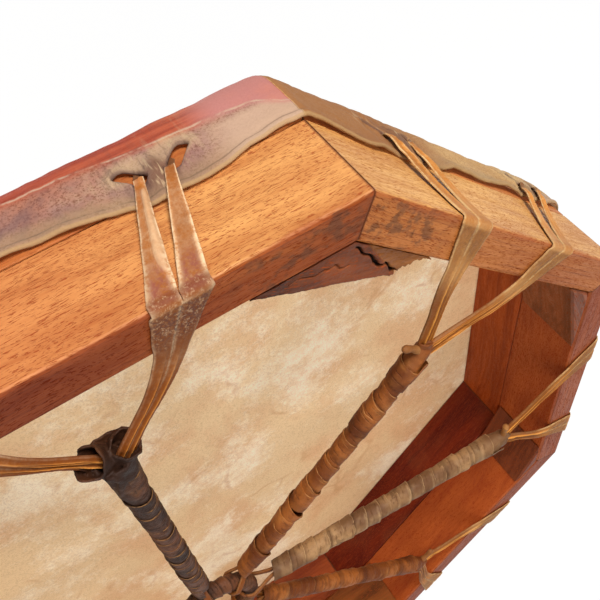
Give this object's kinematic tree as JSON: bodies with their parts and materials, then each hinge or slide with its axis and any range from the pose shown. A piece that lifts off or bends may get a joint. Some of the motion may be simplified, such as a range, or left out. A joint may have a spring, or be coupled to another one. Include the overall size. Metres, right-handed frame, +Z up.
{
  "type": "octagonal frame drum",
  "caption": "Octagonal shaman frame drum seen from its open back: mitred boards, corner glue blocks, laced rawhide head and leather-bound spokes to a centre ring",
  "frame": {"origin": "under the middle of the drum's box, on the surface that it stands on", "axes": "X to the right as seen from the open back, Y from the open back to the head, Z up"},
  "size_m": [0.405, 0.0682, 0.405],
  "materials": {
    "board_wood": "orange-brown stained and oiled softwood boards, satin",
    "inner_wood": "darker red-brown stained boards under the hide",
    "block_wood": "dark red-brown glue blocks, rough sawn back faces",
    "head_rawhide": "dried rawhide, cream to amber, mottled mauve and orange on the rim",
    "lacing_rawhide": "rawhide straps, golden and stiff, folded and mottled",
    "dark_leather": "dark brown-black leather strip, overlapped turns",
    "amber_leather": "amber-brown leather strip, overlapped turns",
    "grey_leather": "greyish tan leather strip, overlapped turns"
  },
  "bodies": {
    "root": {"back_board_1": "board_wood", "back_board_2": "board_wood", "back_board_3": "board_wood", "back_board_4": "board_wood", "back_board_5": "board_wood", "back_board_6": "board_wood", "back_board_7": "board_wood", "back_board_8": "board_wood", "centre_ring": "dark_leather", "corner_block_1": "block_wood", "corner_block_2": "block_wood", "corner_block_3": "block_wood", "corner_block_4": "block_wood", "corner_block_5": "block_wood", "corner_block_6": "block_wood", "corner_block_7": "block_wood", "corner_block_8": "block_wood", "drum_hide": "head_rawhide", "front_board_1": "inner_wood", "front_board_2": "inner_wood", "front_board_3": "inner_wood", "front_board_4": "inner_wood", "front_board_5": "inner_wood", "front_board_6": "inner_wood", "front_board_7": "inner_wood", "front_board_8": "inner_wood", "lacing_1": "lacing_rawhide", "lacing_2": "lacing_rawhide", "lacing_3": "lacing_rawhide", "lacing_4": "lacing_rawhide", "lacing_5": "lacing_rawhide", "lacing_6": "lacing_rawhide", "lacing_7": "lacing_rawhide", "lacing_8": "lacing_rawhide", "spoke_wrap_1": "dark_leather", "spoke_wrap_2": "amber_leather", "spoke_wrap_3": "grey_leather", "spoke_wrap_4": "amber_leather", "spoke_wrap_5": "dark_leather", "spoke_wrap_6": "amber_leather", "spoke_wrap_7": "grey_leather", "spoke_wrap_8": "amber_leather"}
  },
  "joints": []
}
